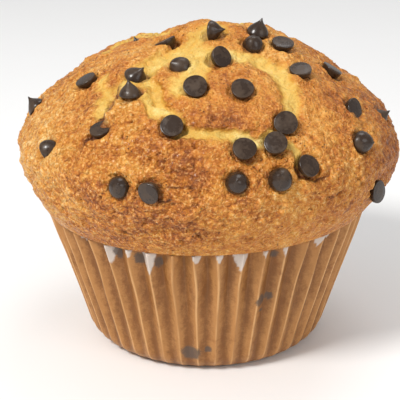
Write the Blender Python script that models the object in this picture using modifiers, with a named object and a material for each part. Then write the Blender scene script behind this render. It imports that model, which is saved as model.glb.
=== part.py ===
"""A chocolate-chip muffin in its pleated paper case.

Metres, +Z up. The origin is the centre of the case's flat base, on the surface that the
muffin stands on. -Y is its front. An azimuth is in degrees from the front, positive to the
right (+X). A lean is in degrees from straight up, seen from the middle of the crown.
"""

import math
import random

import bmesh
import bpy
from mathutils import Matrix, Vector

MM = 0.001
GAP = 0.3 * MM  # between pieces that touch

# Paper case
CASE_FOOT_RADIUS = 25.2 * MM  # where the wall's slope would meet the surface
CASE_TAPER = 0.305  # radius gained for each unit of height
CASE_CORNER = 5.5 * MM  # rounding between base and wall
CORNER_STEPS = 3
PLEATS = 46
PLEAT_PHASE = -3.6  # azimuth of the ridge nearest the front
PLEAT_DEPTH = 2.0 * MM  # ridge to valley, at the rim
PLEAT_START = 0.35  # share of that depth at the top of the rounded corner
PAPER = 0.3 * MM
CRUMB_INSET = 0.85 * MM  # crumb to the paper's outer face, at a valley

# Where crown and case meet
RIM_HEIGHT = 31.0 * MM
RIM_SIDE_RISE = 0.7 * MM  # the right side is this much higher, the left lower
RIM_FRONT_DROP = 0.7 * MM  # the front is this much lower, the back higher

# Crown
CROWN_RIM_OVERHANG = 0.5 * MM  # beyond the pleats' ridges
CROWN_RADIUS = 40.3 * MM  # at the widest
CROWN_WAIST = 43.6 * MM  # height of the widest ring
MUFFIN_HEIGHT = 68.4 * MM
CROWN_SHIFT = Vector((0.8 * MM, -0.8 * MM))  # the crown leans out this way
DOME_FULLNESS = 1.6  # 2 is a round dome, less is more peaked
BULGE_DROP_POWER = 2.4  # how late the bulge under the waist turns in
BULGE_OUT_POWER = 1.14
AROUND = 56
DOME_ROWS = 13
BULGE_ROWS = 4
WALL_ROWS = 2

# Azimuth, lean, spread (both ways, degrees) and height of each large swelling of the crown
SWELLINGS = (
    (-10, 6, 13, 1.2 * MM),
    (-62, 20, 12, -1.4 * MM),
    (-110, 36, 18, -0.6 * MM),
    (88, 27, 16, 1.2 * MM),
    (92, 56, 15, -1.0 * MM),
    (-88, 52, 14, 0.2 * MM),
    (-60, 68, 10, -0.9 * MM),
    (-50, 88, 18, 0.5 * MM),
    (40, 64, 22, 0.6 * MM),
    (-95, 84, 10, 0.6 * MM),
    (170, 70, 24, -0.8 * MM),
    (140, 92, 18, 0.6 * MM),
)

# Chips: small drops with a round flat base
CHIP_RADIUS = 2.4 * MM
CHIP_HEIGHT = 3.3 * MM
CHIP_MIDDLE = 1.2 * MM  # height of the point that a chip is placed and turned by
CHIP_SIDES = 8
# Share of the radius and of the height, up the side of the drop from its base
CHIP_OUTLINE = ((1.0, 0.0), (0.92, 0.36), (0.5, 0.74))

TIP_OUT, ON_EDGE, BASE_OUT = 0, 90, 180
# Azimuth, lean, tilt of the tip from straight out, which way it tilts (0 is up the crown,
# 90 to the right), and how far the chip's middle stands out of the crust in millimetres
FRONT_CHIPS = (
    (-97, 37, TIP_OUT + 10, 90, -1.6),
    (-62, 25, BASE_OUT - 20, 40, -0.9),
    (8, 17, ON_EDGE - 10, 108, 0.2),
    (-21, 42, TIP_OUT + 42, 223, -0.9),
    (6, 37, BASE_OUT - 45, 317, -0.3),
    (-40, 51, TIP_OUT + 45, 55, -0.2),
    (-34, 60, TIP_OUT + 30, 0, 0.9),
    (-7, 54, BASE_OUT - 20, 345, -0.6),
    (14, 56, BASE_OUT - 12, 18, -0.5),
    (66, 24, TIP_OUT, 0, 0.6),
    (41, 29, TIP_OUT + 35, 270, -0.2),
    (65, 37, BASE_OUT - 15, 136, -0.4),
    (51, 52, BASE_OUT - 25, 133, -0.6),
    (79, 58, BASE_OUT, 0, -0.7),
    (59, 71, BASE_OUT - 30, 20, -0.9),
    (78, 79, TIP_OUT + 10, 140, -0.8),
    (51, 81, TIP_OUT + 28, 166, 0.5),
    (57, 97, BASE_OUT - 28, 168, -0.4),
    (26, 70, BASE_OUT - 25, 54, -0.6),
    (10, 77, BASE_OUT - 5, 143, -0.3),
    (20, 76, BASE_OUT - 18, 89, -0.2),
    (7, 85, TIP_OUT + 15, 307, 0.0),
    (19, 85, TIP_OUT + 20, 310, 0.2),
    (28, 83, BASE_OUT - 12, 225, -0.8),
    (-13, 70, BASE_OUT - 12, 318, -0.6),
    (-25, 88, TIP_OUT + 20, 70, -0.1),
    (-16, 88, BASE_OUT - 30, 30, -0.4),
    (-38, 74, BASE_OUT - 18, 180, -1.3),
    (-68, 61, BASE_OUT - 10, 150, -1.0),
    (-56, 83, ON_EDGE, 45, -1.5),
    (-88, 79, TIP_OUT + 20, 270, 0.2),
)
BACK_CHIPS = 20
BACK_AZIMUTHS = (108, 250)
BACK_LEANS = (30, 98)
CHIP_SPACING = 8.0 * MM
TO_VIEWER = Vector((0.0, -0.94, 0.34))  # none of the strewn chips shows from this side
SEED = 11


def material(name, colour, roughness):
    """A plain Principled finish."""
    made = bpy.data.materials.new(name)
    made.use_nodes = True
    shader = made.node_tree.nodes["Principled BSDF"]
    shader.inputs["Base Color"].default_value = (*colour, 1.0)
    shader.inputs["Roughness"].default_value = roughness
    shader.inputs["Metallic"].default_value = 0.0
    return made


def add_object(name, bm, finish, collection):
    """Turns a bmesh into a named object in a collection."""
    mesh = bpy.data.meshes.new(name)
    bm.to_mesh(mesh)
    bm.free()
    if finish:
        mesh.materials.append(finish)
    placed = bpy.data.objects.new(name, mesh)
    collection.objects.link(placed)
    return placed


def facing(azimuth):
    """The level unit vector that points to an azimuth."""
    turn = math.radians(azimuth)
    return Vector((math.sin(turn), -math.cos(turn), 0.0))


def rim_height(azimuth):
    """Height at which crown and case meet."""
    out = facing(azimuth)
    return RIM_HEIGHT + RIM_SIDE_RISE * out.x + RIM_FRONT_DROP * out.y


def wall_radius(height):
    """Radius of the case's ridges above its rounded corner."""
    return CASE_FOOT_RADIUS + CASE_TAPER * height


def corner_middle():
    """Radius of the centre of the rounded corner's arc."""
    slope_length = math.hypot(1.0, CASE_TAPER)
    return CASE_FOOT_RADIUS + CASE_CORNER * (CASE_TAPER - slope_length)


def corner_points(inset):
    """Radius and height along the rounded corner, from the flat base up to the wall."""
    last = -math.atan(CASE_TAPER)
    radius = CASE_CORNER - inset
    points = []
    for step in range(CORNER_STEPS + 1):
        angle = -math.pi / 2 + (last + math.pi / 2) * step / CORNER_STEPS
        points.append((corner_middle() + radius * math.cos(angle),
                       CASE_CORNER + radius * math.sin(angle)))
    return points


def pleat_depth(height, top):
    """Ridge to valley at a height: none at the base, full at the rim."""
    corner_top = corner_points(0.0)[-1][1]
    if height <= corner_top:
        return PLEAT_DEPTH * PLEAT_START * height / corner_top
    climb = (height - corner_top) / (top - corner_top)
    return PLEAT_DEPTH * (PLEAT_START + (1.0 - PLEAT_START) * climb)


def crown_point(azimuth, lean):
    """A point of the crown's skin, by azimuth and lean from the crown's middle."""
    rim = rim_height(azimuth)
    rim_radius = wall_radius(rim) + CROWN_RIM_OVERHANG
    dome = MUFFIN_HEIGHT - CROWN_WAIST
    if lean <= 90.0:
        across = math.sin(math.radians(lean))
        up = max(math.cos(math.radians(lean)), 0.0)
        power = DOME_FULLNESS
        reach = ((across / CROWN_RADIUS) ** power + (up / dome) ** power) ** (-1.0 / power)
        radius, height = reach * across, CROWN_WAIST + reach * up
    else:
        drop = CROWN_RADIUS * math.tan(math.radians(lean - 90.0)) / (CROWN_WAIST - rim)
        drop = min(drop, 1.0)
        bulge = (1.0 - drop ** BULGE_DROP_POWER) ** BULGE_OUT_POWER
        radius = rim_radius + (CROWN_RADIUS - rim_radius) * bulge
        height = CROWN_WAIST - drop * (CROWN_WAIST - rim)
    out = facing(azimuth)
    risen = min(max((height - rim) / (CROWN_WAIST - rim), 0.0), 1.0)
    point = out * radius + Vector((0.0, 0.0, height))
    point.xy += CROWN_SHIFT * risen
    tilt = math.radians(lean)
    ray = out * math.sin(tilt) + Vector((0.0, 0.0, math.cos(tilt)))
    return point + ray * swelling(ray) * risen


def swelling(ray):
    """How far the crown swells out in a direction."""
    total = 0.0
    for azimuth, lean, spread, height in SWELLINGS:
        tilt = math.radians(lean)
        middle = facing(azimuth) * math.sin(tilt) + Vector((0.0, 0.0, math.cos(tilt)))
        away = math.degrees(ray.angle(middle, 0.0)) / spread
        total += height * math.exp(-away * away)
    return total


def crown_normal(azimuth, lean):
    """Outward normal of the crown's skin."""
    step = 1.0
    along = crown_point(azimuth + step, lean) - crown_point(azimuth - step, lean)
    up = crown_point(azimuth, lean - step) - crown_point(azimuth, lean + step)
    return along.cross(up).normalized()


def skin_rings(bm, rings, last_point):
    """Joins rings of points, bottom to top, with a flat bottom and a point at the top."""
    rows = [[bm.verts.new(point) for point in ring] for ring in rings]
    count = len(rows[0])
    bm.faces.new(reversed(rows[0]))
    for low, high in zip(rows, rows[1:]):
        for i in range(count):
            j = (i + 1) % count
            bm.faces.new((low[i], low[j], high[j], high[i]))
    if last_point is not None:
        tip = bm.verts.new(last_point)
        for i in range(count):
            bm.faces.new((rows[-1][i], rows[-1][(i + 1) % count], tip))


def muffin_rings():
    """Rings of the muffin's skin, from its base up through the crown to near its top."""
    azimuths = [360.0 * i / AROUND for i in range(AROUND)]
    rings = []
    for radius, height in corner_points(CRUMB_INSET):
        rings.append([crumb_point(azimuth, radius, height) for azimuth in azimuths])
    corner_top = corner_points(0.0)[-1][1]
    for row in range(1, WALL_ROWS + 1):
        ring = []
        for azimuth in azimuths:
            top = rim_height(azimuth)
            height = corner_top + (top - corner_top) * row / WALL_ROWS
            ring.append(crumb_point(azimuth, wall_radius(height) - CRUMB_INSET, height))
        rings.append(ring)
    for row in range(BULGE_ROWS):
        share = 1.0 - row / BULGE_ROWS
        ring = []
        for azimuth in azimuths:
            rim_drop = (CROWN_WAIST - rim_height(azimuth)) / CROWN_RADIUS
            ring.append(crown_point(azimuth, 90.0 + share * math.degrees(math.atan(rim_drop))))
        rings.append(ring)
    for row in range(DOME_ROWS):
        lean = 90.0 * (1.0 - row / DOME_ROWS)
        rings.append([crown_point(azimuth, lean) for azimuth in azimuths])
    return rings


def crumb_point(azimuth, radius, height):
    """A point of the crumb inside the case, clear of the paper's valleys."""
    depth = pleat_depth(height, rim_height(azimuth))
    return facing(azimuth) * (radius - depth) + Vector((0.0, 0.0, height))


def build_muffin(collection, finish):
    """The muffin: crumb and crown in one solid."""
    bm = bmesh.new()
    skin_rings(bm, muffin_rings(), crown_point(0.0, 0.0))
    return add_object("muffin", bm, finish, collection)


def build_case(collection, finish):
    """The paper case: a round base lofted into a pleated wall, as one thin shell."""
    bm = bmesh.new()
    folds = 2 * PLEATS
    azimuths = [PLEAT_PHASE + 360.0 * i / folds for i in range(folds)]
    corner = corner_points(0.0)
    rings = []
    for radius, height in corner:
        rings.append([fold_point(i, azimuth, radius, height)
                      for i, azimuth in enumerate(azimuths)])
    for share in (0.5, 1.0):
        ring = []
        for i, azimuth in enumerate(azimuths):
            top = rim_height(azimuth) - GAP
            height = corner[-1][1] + (top - corner[-1][1]) * share
            ring.append(fold_point(i, azimuth, wall_radius(height), height))
        rings.append(ring)
    skin_rings(bm, rings, None)
    case = add_object("paper_case", bm, finish, collection)
    shell = case.modifiers.new("paper", "SOLIDIFY")
    shell.thickness = PAPER
    shell.offset = -1.0
    shell.use_even_offset = True
    return case


def fold_point(index, azimuth, radius, height):
    """A corner of the pleats: even ones are ridges, odd ones valleys."""
    if index % 2:
        radius -= pleat_depth(height, rim_height(azimuth))
    return facing(azimuth) * radius + Vector((0.0, 0.0, height))


def chip_drop(clearance):
    """A chip as a turned drop, base down, its middle at the origin, grown by a clearance."""
    bm = bmesh.new()
    rings = []
    for width, rise in CHIP_OUTLINE:
        radius = CHIP_RADIUS * width + clearance
        height = CHIP_HEIGHT * rise - CHIP_MIDDLE - (clearance if rise == 0.0 else 0.0)
        rings.append([facing(360.0 * i / CHIP_SIDES) * radius + Vector((0.0, 0.0, height))
                      for i in range(CHIP_SIDES)])
    tip = Vector((0.0, 0.0, CHIP_HEIGHT - CHIP_MIDDLE + 2.0 * clearance))
    skin_rings(bm, rings, tip)
    return bm


def chip_place(azimuth, lean, tilt, roll, proud):
    """The matrix that puts a chip on the crown."""
    normal = crown_normal(azimuth, lean)
    uphill = (Vector((0.0, 0.0, 1.0)) - normal * normal.z).normalized()
    right = uphill.cross(normal)
    way = uphill * math.cos(math.radians(roll)) + right * math.sin(math.radians(roll))
    axis = normal * math.cos(math.radians(tilt)) + way * math.sin(math.radians(tilt))
    middle = crown_point(azimuth, lean) + normal * proud * MM
    turn = Vector((0.0, 0.0, 1.0)).rotation_difference(axis)
    return Matrix.Translation(middle) @ turn.to_matrix().to_4x4()


def back_chips():
    """Chips strewn over the back of the crown, no two of them close together."""
    draw = random.Random(SEED)
    taken = [crown_point(chip[0], chip[1]) for chip in FRONT_CHIPS]
    chips = []
    while len(chips) < BACK_CHIPS:
        azimuth = draw.uniform(*BACK_AZIMUTHS)
        low, high = (math.cos(math.radians(lean)) for lean in BACK_LEANS)
        lean = math.degrees(math.acos(draw.uniform(high, low)))
        tilt = draw.choice((TIP_OUT, TIP_OUT + 20, ON_EDGE, BASE_OUT, BASE_OUT, BASE_OUT - 25))
        roll = draw.uniform(0.0, 360.0)
        proud = draw.uniform(-0.4, 0.3) if tilt < ON_EDGE else draw.uniform(-1.0, -0.3)
        middle = crown_point(azimuth, lean)
        hidden = crown_normal(azimuth, lean).dot(TO_VIEWER) < -0.35
        if hidden and all((middle - other).length > CHIP_SPACING for other in taken):
            taken.append(middle)
            chips.append((azimuth, lean, tilt, roll, proud))
    return chips


def build_chips(collection, cutters, finish):
    """Every chip, and one cutter object that holds the pocket that each sits in."""
    drop = chip_drop(0.0)
    shared = bpy.data.meshes.new("chip")
    drop.to_mesh(shared)
    drop.free()
    shared.materials.append(finish)
    pockets = bmesh.new()
    for number, chip in enumerate([*FRONT_CHIPS, *back_chips()], start=1):
        placed = bpy.data.objects.new(f"chip_{number:02d}", shared)
        placed.matrix_world = chip_place(*chip)
        collection.objects.link(placed)
        pocket = chip_drop(GAP)
        pocket.transform(placed.matrix_world)
        pocket_mesh = bpy.data.meshes.new("pocket")
        pocket.to_mesh(pocket_mesh)
        pocket.free()
        pockets.from_mesh(pocket_mesh)
        bpy.data.meshes.remove(pocket_mesh)
    cutter = add_object("chip_pockets", pockets, None, cutters)
    cutter.hide_render = True
    cutter.display_type = "WIRE"
    return cutter


def main():
    """Builds the muffin, its case and its chips."""
    for old in list(bpy.data.objects):
        bpy.data.objects.remove(old, do_unlink=True)
    parts = bpy.data.collections.new("muffin")
    cutters = bpy.data.collections.new("cutters")
    bpy.context.scene.collection.children.link(parts)
    bpy.context.scene.collection.children.link(cutters)

    crust = material("baked_crumb", (0.50, 0.25, 0.08), 0.75)
    paper = material("case_paper", (0.42, 0.22, 0.09), 0.6)
    chocolate = material("chocolate", (0.055, 0.028, 0.016), 0.35)

    muffin = build_muffin(parts, crust)
    build_case(parts, paper)
    pockets = build_chips(parts, cutters, chocolate)
    cut = muffin.modifiers.new("chip_pockets", "BOOLEAN")
    cut.operation = "DIFFERENCE"
    cut.object = pockets


main()
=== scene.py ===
"""A chocolate-chip muffin in its pleated paper case, on a pale table in soft studio light.

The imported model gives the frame. Around it this script bakes the fine crust, pleats the
paper, sets every chocolate drop in place and strews the loose crumbs. Sizes are in metres.
An azimuth is in degrees from the front (-Y), positive to the right (+X). A lean is in
degrees from straight up, seen from the middle of the crown.
"""

import logging
import math
import random
from dataclasses import dataclass, field
from enum import Enum
from typing import Callable, Iterable, Sequence

import bmesh
import bpy
import numpy as np
from bpy.types import Material, Mesh, Object
from mathutils import Matrix, Vector, noise


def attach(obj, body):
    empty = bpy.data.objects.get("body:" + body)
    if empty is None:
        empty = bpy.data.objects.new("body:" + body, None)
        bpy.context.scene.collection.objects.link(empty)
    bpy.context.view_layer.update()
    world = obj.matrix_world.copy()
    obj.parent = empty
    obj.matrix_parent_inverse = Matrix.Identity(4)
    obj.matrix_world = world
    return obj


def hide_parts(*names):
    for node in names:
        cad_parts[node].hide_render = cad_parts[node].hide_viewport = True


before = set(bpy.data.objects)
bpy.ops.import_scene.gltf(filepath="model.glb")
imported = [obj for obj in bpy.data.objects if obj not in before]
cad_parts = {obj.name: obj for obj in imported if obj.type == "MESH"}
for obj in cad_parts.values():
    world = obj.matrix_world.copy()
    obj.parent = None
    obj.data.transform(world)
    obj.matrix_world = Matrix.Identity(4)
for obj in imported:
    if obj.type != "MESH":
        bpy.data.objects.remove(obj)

LOG = logging.getLogger("muffin")
MM = 0.001
BODY = "root"
UP = np.array([0.0, 0.0, 1.0])
Colour = tuple[float, float, float]
Stops = Sequence[tuple[float, Colour]]


def srgb(red: int, green: int, blue: int) -> Colour:
    """Turns display values from 0 to 255 into a scene-linear colour."""
    def straight(value: int) -> float:
        share = value / 255.0
        return share / 12.92 if share <= 0.04045 else ((share + 0.055) / 1.055) ** 2.4
    return straight(red), straight(green), straight(blue)


def stops(*rows: tuple[float, int, int, int]) -> Stops:
    """A colour ramp's stops from rows of place, red, green and blue."""
    return tuple((place, srgb(*colour)) for place, *colour in rows)


def smooth(values: np.ndarray, low: float, high: float) -> np.ndarray:
    """A soft step from 0 at low to 1 at high.

    Args:
        values: The numbers to step.
        low: Where the step starts. It may be above high, which turns the step round.
        high: Where the step ends.

    Returns:
        Numbers from 0 to 1.
    """
    share = np.clip((values - low) / (high - low), 0.0, 1.0)
    return share * share * (3.0 - 2.0 * share)


def facing(azimuth: np.ndarray) -> np.ndarray:
    """The level unit vectors that point to azimuths, as rows."""
    turn = np.radians(azimuth)
    return np.stack([np.sin(turn), -np.cos(turn), np.zeros_like(turn)], axis=-1)


def rays(azimuth: np.ndarray, lean: np.ndarray) -> np.ndarray:
    """The unit vectors at azimuths and leans, as rows."""
    tilt = np.radians(lean)[..., None]
    return facing(azimuth) * np.sin(tilt) + UP * np.cos(tilt)


def ring(azimuth: np.ndarray, radius: np.ndarray, height: np.ndarray) -> np.ndarray:
    """Places at azimuths, a radius and a height, as rows."""
    return facing(azimuth) * np.asarray(radius)[..., None] + UP * np.asarray(height)[..., None]


def whole_turn(count: int) -> np.ndarray:
    """Azimuths spread evenly once round."""
    return 360.0 * np.arange(count) / count


def resampled(rows: Sequence[Sequence[float]], count: int) -> np.ndarray:
    """Spreads points evenly along rows of knots, and gives the result by column."""
    knots = np.array(rows, float)
    steps = np.linspace(0.0, len(knots) - 1.0, count)
    return np.stack([np.interp(steps, np.arange(len(knots)), column) for column in knots.T])


def sampled(points: np.ndarray, size: float, layer: Callable[[Vector], float]) -> np.ndarray:
    """Samples a noise layer at many points.

    Args:
        points: Rows of places, in metres.
        size: The size of the layer's features, in metres.
        layer: Gives the noise at one place.

    Returns:
        One number for each row.
    """
    return np.fromiter((layer(Vector(row)) for row in points / size), float, len(points))


def fractal(octaves: int) -> Callable[[Vector], float]:
    """A layered noise, about -1 to 1."""
    return lambda place: noise.fractal(place, 0.9, 2.1, octaves)


def wandered(points: np.ndarray, size: float, reach: float, octaves: int = 3) -> np.ndarray:
    """Moves places about by a noise, so that a line drawn among them looks torn.

    Args:
        points: Rows of places.
        size: The size of the wandering's waves.
        reach: How far a place may move.
        octaves: How many layers the noise has.

    Returns:
        The moved rows.
    """
    shifts = [sampled(points + offset * MM, size, fractal(octaves)) for offset in (0, 37, 71)]
    return points + reach * np.stack(shifts, axis=-1)


# ---------------------------------------------------------------- nodes


def reckoning(operation: str, swapped: bool = False) -> Callable[["Wire", "Wire | float"], "Wire"]:
    """A method that takes a wire and a value, or the two swapped, through a Math node."""
    def method(self: "Wire", value: "Wire | float") -> "Wire":
        return self.maths(operation, *((value, self) if swapped else (self, value)))
    return method


class Wire:
    """A socket of a node tree that can be reckoned with as a number."""

    __add__ = __radd__ = reckoning("ADD")
    __mul__ = __rmul__ = reckoning("MULTIPLY")
    __sub__ = reckoning("SUBTRACT")
    __rsub__ = reckoning("SUBTRACT", swapped=True)
    __truediv__ = reckoning("DIVIDE")

    def __init__(self, bench: "Bench", socket: bpy.types.NodeSocket) -> None:
        """Keeps the socket and the bench that it is on."""
        self.bench = bench
        self.socket = socket

    def other(self, name: str) -> "Wire":
        """Another output of the same node."""
        return Wire(self.bench, self.socket.node.outputs[name])

    def maths(self, operation: str, *values: "Wire | float") -> "Wire":
        """Adds a Math node that works on values."""
        sockets = dict(enumerate(values))
        return self.bench.node("ShaderNodeMath", {"operation": operation}, sockets)

    def step(self, low: float, high: float) -> "Wire":
        """A soft step from 0 at low to 1 at high."""
        return self.bench.node("ShaderNodeMapRange", {"interpolation_type": "SMOOTHSTEP"},
                               {"Value": self, "From Min": low, "From Max": high})

    def blend(self, zero: "Wire | Colour", one: "Wire | Colour") -> "Wire":
        """A colour between two others, with this as the share of the second."""
        return self.bench.node("ShaderNodeMix", {"data_type": "RGBA"},
                               {0: self, 6: zero, 7: one}, 2)

    def ramp(self, colours: Stops) -> "Wire":
        """A colour read from stops by this number."""
        return self.bench.node("ShaderNodeValToRGB", {"stops": colours}, {0: self})


class Bench:
    """Lays out the nodes of one tree."""

    def __init__(self, tree: bpy.types.NodeTree) -> None:
        """Takes a tree and empties it."""
        self.tree = tree
        tree.nodes.clear()

    def node(self, kind: str, settings: dict | None = None,
             sockets: dict | None = None, out: int | str = 0) -> Wire:
        """Adds a node.

        Args:
            kind: The node's type.
            settings: Its properties, set first. "stops" are a colour ramp's.
            sockets: Values or wires for its inputs, by name or number.
            out: The output to return.

        Returns:
            The output as a wire.
        """
        made = self.tree.nodes.new(kind)
        for name, value in (settings or {}).items():
            if name == "stops":
                self.set_stops(made.color_ramp, value)
            else:
                setattr(made, name, value)
        for name, value in (sockets or {}).items():
            self.feed(made.inputs[name], value)
        return Wire(self, made.outputs[out]) if made.outputs else Wire(self, made.inputs[0])

    def feed(self, socket: bpy.types.NodeSocket, value: "Wire | float | Colour") -> None:
        """Links a wire to an input, or sets the input's own value."""
        if isinstance(value, Wire):
            self.tree.links.new(value.socket, socket)
        elif socket.type == "RGBA":
            socket.default_value = (*value, 1.0)
        else:
            socket.default_value = value

    @staticmethod
    def set_stops(ramp: bpy.types.ColorRamp, colours: Stops) -> None:
        """Gives a colour ramp its stops."""
        while len(ramp.elements) < len(colours):
            ramp.elements.new(1.0)
        for element, (place, colour) in zip(ramp.elements, colours):
            element.position = place
            element.color = (*colour, 1.0)

    def attribute(self, name: str) -> Wire:
        """A number kept on the mesh."""
        return self.node("ShaderNodeAttribute", {"attribute_name": name}, out="Fac")

    def place(self, stretch: tuple[float, float, float] = (1.0, 1.0, 1.0)) -> Wire:
        """The place on the object, stretched along its axes."""
        plain = self.node("ShaderNodeTexCoord", out="Object")
        if stretch == (1.0, 1.0, 1.0):
            return plain
        return self.node("ShaderNodeMapping", None, {"Vector": plain, "Scale": stretch})

    def grain(self, place: Wire, size: float, detail: float = 2.0, rough: float = 0.5) -> Wire:
        """A noise from 0 to 1 with features of a size in metres."""
        return self.node("ShaderNodeTexNoise", None, {
            "Vector": place, "Scale": 1.0 / size, "Detail": detail, "Roughness": rough})

    def cells(self, place: Wire, size: float) -> Wire:
        """The distance to the nearest of scattered points, in cells of a size in metres."""
        return self.node("ShaderNodeTexVoronoi", None, {"Vector": place, "Scale": 1.0 / size},
                         "Distance")

    def vector(self, operation: str, first: Wire, second: "Wire | Colour") -> Wire:
        """Adds a Vector Math node. SCALE takes a number second, the others a vector."""
        second_input = "Scale" if operation == "SCALE" else 1
        return self.node("ShaderNodeVectorMath", {"operation": operation},
                         {0: first, second_input: second})

    def named(self, name: str, kind: str = "FLOAT") -> Wire:
        """A geometry tree's reading of what a mesh keeps under a name."""
        return self.node("GeometryNodeInputNamedAttribute", {"data_type": kind}, {"Name": name})

    def drawn(self, low: "Wire | Colour", high: "Wire | Colour", seed: Wire) -> Wire:
        """What each point draws: a vector between two tuples, a number between two wires."""
        kind, first, out = ("FLOAT_VECTOR", 0, 0) if isinstance(low, tuple) else ("FLOAT", 2, 1)
        return self.node("FunctionNodeRandomValue", {"data_type": kind},
                         {first: low, first + 1: high, "Seed": seed}, out)

    def bump(self, height: Wire, depth: float, strength: float = 1.0) -> Wire:
        """A normal bent by a height from 0 to 1 that stands for a depth in metres."""
        return self.node("ShaderNodeBump", None, {
            "Height": height, "Distance": depth, "Strength": strength})


@dataclass(frozen=True)
class Finish:
    """What every finish has: a name and a Principled shader with plain constants."""

    name: str
    constants: tuple[tuple[str, object], ...] = ()

    def dress(self, bench: Bench) -> dict[str, Wire]:
        """Lays out the pattern and returns what feeds the shader. Each finish has its own."""
        raise NotImplementedError

    def material(self) -> Material:
        """Makes the material."""
        made = bpy.data.materials.new(self.name)
        made.use_nodes = True
        bench = Bench(made.node_tree)
        sockets = {**dict(self.constants), **self.dress(bench)}
        shader = bench.node("ShaderNodeBsdfPrincipled", None, sockets)
        bench.node("ShaderNodeOutputMaterial", None, {"Surface": shader})
        return made


@dataclass(frozen=True)
class CrustFinish(Finish):
    """Browned crust that turns to pale yellow crumb where the crown has torn open."""

    toasts: Stops = stops(
        (0.0, 244, 208, 146), (0.2, 226, 170, 90), (0.42, 210, 142, 58),
        (0.65, 190, 116, 40), (0.85, 158, 88, 28), (1.0, 128, 68, 24))
    crumbs: Stops = stops(
        (0.2, 184, 128, 42), (0.42, 208, 162, 70), (0.65, 214, 180, 94), (0.9, 236, 214, 142))
    # The pale of the painted highlights on the grain's peaks.
    highlight_fleck_colour: Colour = srgb(246, 208, 154)
    # The dark of the painted shade in pits, slits and dents.
    hollow_shade_colour: Colour = srgb(104, 56, 24)
    speck_colour: Colour = srgb(92, 50, 26)

    def dress(self, bench: Bench) -> dict[str, Wire]:
        """Crust by how far it is toasted, crumb where it is torn, with painted shade in its
        hollows, in the grain's low spots and along the tear edges, and painted highlights on the
        grain's peaks.
        """
        place = bench.place()
        broad = bench.grain(place, 6 * MM, 3.0)
        patch = bench.grain(place, 1.7 * MM, 3.0, 0.6)
        fine = bench.grain(place, 0.5 * MM, 2.0, 0.6)
        crumble = bench.grain(place, 1.0 * MM, 3.0, 0.65)
        creases = (bench.cells(place, 1.1 * MM) + (crumble - 0.5) * 1.1).step(0.35, 0.8)
        coarse = bench.attribute("coarse")
        torn = bench.attribute("torn") + (broad - 0.5) * 0.9 + (patch - 0.5) * 0.8
        torn = (torn + (fine - 0.5) * 0.3).step(0.2, 0.95)
        relief = (1.0 - creases) * (0.15 + coarse * 0.35) + crumble * 0.8 + fine * 0.55
        toast = bench.attribute("toast") + (broad - 0.5) * 0.7 + (patch - 0.5) * 0.6
        # Darker where crumble, fine and creases leave the relief low: painted shade in the grain's
        # small hollows.
        toast = toast + (0.52 - crumble) * (0.45 + coarse * 0.65) + creases * coarse * 0.14
        toast = toast + (0.5 - fine) * (0.2 + coarse * 0.4)
        crust = toast.ramp(self.toasts)
        # Pale flecks where the fine grain stands highest: painted highlights.
        highlight_flecks = fine.step(0.5, 0.72) * crumble.step(0.42, 0.62) * (0.1 + coarse * 0.26)
        crust = highlight_flecks.blend(crust, self.highlight_fleck_colour)
        softness = bench.grain(place, 2.6 * MM, 3.0) * 0.7 + fine * 0.3
        raw = bench.attribute("torn")
        # Darker ochre along the borders of each tear: painted shade under the crust's edge.
        edge = raw * (1.0 - raw) * 4.0
        crumb = (softness + bench.attribute("light") * 0.3 - edge * 0.2 + 0.05).ramp(self.crumbs)
        surface = (torn * 0.92).blend(crust, crumb)
        # Dark in the pits, slits and dents round the drops: painted shade.
        surface = bench.attribute("hollow").step(0.05, 1.0).blend(surface, self.hollow_shade_colour)
        pits = bench.cells(place, 0.9 * MM)
        specks = pits.step(0.26, 0.1) * bench.grain(place, 3.1 * MM).step(0.5, 0.62)
        specks = specks * (1.0 - torn) * 0.75
        surface = specks.blend(surface, self.speck_colour)
        glints = bench.grain(place, 0.42 * MM, 1.0).step(0.56, 0.7)
        relief = relief * (1.0 - torn * 0.55) + patch * 0.5 - specks * 0.4
        return {
            "Base Color": surface,
            "Roughness": 0.5 - glints * 0.32 + torn * 0.1,
            "Coat Weight": glints * (0.3 - torn * 0.2),
            "Normal": bench.bump(relief, 0.9 * MM, 1.0),
        }


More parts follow.
